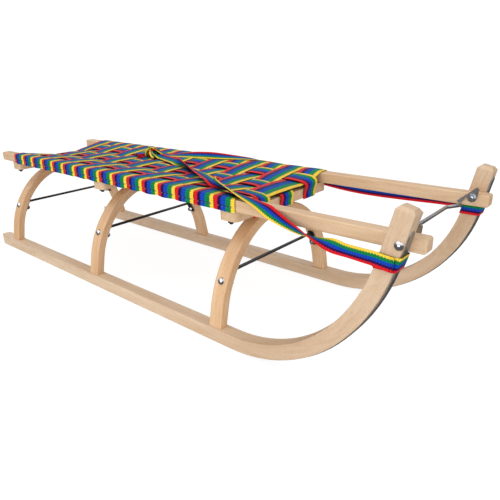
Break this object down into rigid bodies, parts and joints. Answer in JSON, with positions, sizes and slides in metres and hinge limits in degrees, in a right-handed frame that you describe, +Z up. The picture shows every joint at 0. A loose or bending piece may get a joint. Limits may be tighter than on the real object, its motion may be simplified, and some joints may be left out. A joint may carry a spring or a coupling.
{
  "type": "wooden sled",
  "caption": "Bentwood sled with upturned horns, arched legs on steel-shod runners, a woven striped webbing seat and a webbing tow strap.",
  "frame": {"origin": "on the ground, under the middle of the sled's length and width", "axes": "+X forward towards the horns, +Y to the rider's left, +Z up"},
  "size_m": [1.1489, 0.346, 0.2902],
  "materials": {
    "beech": "clear lacquered bent wood",
    "dark_steel": "dark rolled steel",
    "plated_steel": "bright plated fasteners",
    "seat_webbing": "woven webbing in five coloured stripes",
    "tow_webbing": "narrow woven webbing in the same stripes"
  },
  "bodies": {
    "root": {"cross_strap_01": "seat_webbing", "cross_strap_02": "seat_webbing", "cross_strap_03": "seat_webbing", "cross_strap_04": "seat_webbing", "cross_strap_05": "seat_webbing", "cross_strap_06": "seat_webbing", "cross_strap_07": "seat_webbing", "cross_strap_08": "seat_webbing", "cross_strap_09": "seat_webbing", "cross_strap_10": "seat_webbing", "cross_strap_11": "seat_webbing", "cross_strap_12": "seat_webbing", "cross_strap_13": "seat_webbing", "cross_strap_14": "seat_webbing", "cross_strap_15": "seat_webbing", "cross_strap_16": "seat_webbing", "crossbar_front": "beech", "crossbar_middle": "beech", "crossbar_rear": "beech", "front_stay": "dark_steel", "horn_bolt_left": "plated_steel", "horn_bolt_right": "plated_steel", "leg_arch_front": "beech", "leg_arch_middle": "beech", "leg_arch_rear": "beech", "long_strap_left": "seat_webbing", "long_strap_middle": "seat_webbing", "long_strap_right": "seat_webbing", "rail_bolts_front": "plated_steel", "rail_bolts_middle": "plated_steel", "rail_bolts_rear": "plated_steel", "runner_left": "beech", "runner_right": "beech", "runner_shoe_left": "dark_steel", "runner_shoe_right": "dark_steel", "seat_rail_left": "beech", "seat_rail_right": "beech", "strut_bolts_front": "plated_steel", "strut_bolts_middle": "plated_steel", "strut_bolts_rear": "plated_steel", "strut_front": "dark_steel", "strut_middle": "dark_steel", "strut_rear": "dark_steel", "tow_knot": "tow_webbing", "tow_loop_left": "tow_webbing", "tow_loop_right": "tow_webbing", "tow_run_left": "tow_webbing", "tow_run_right": "tow_webbing"}
  },
  "joints": []
}
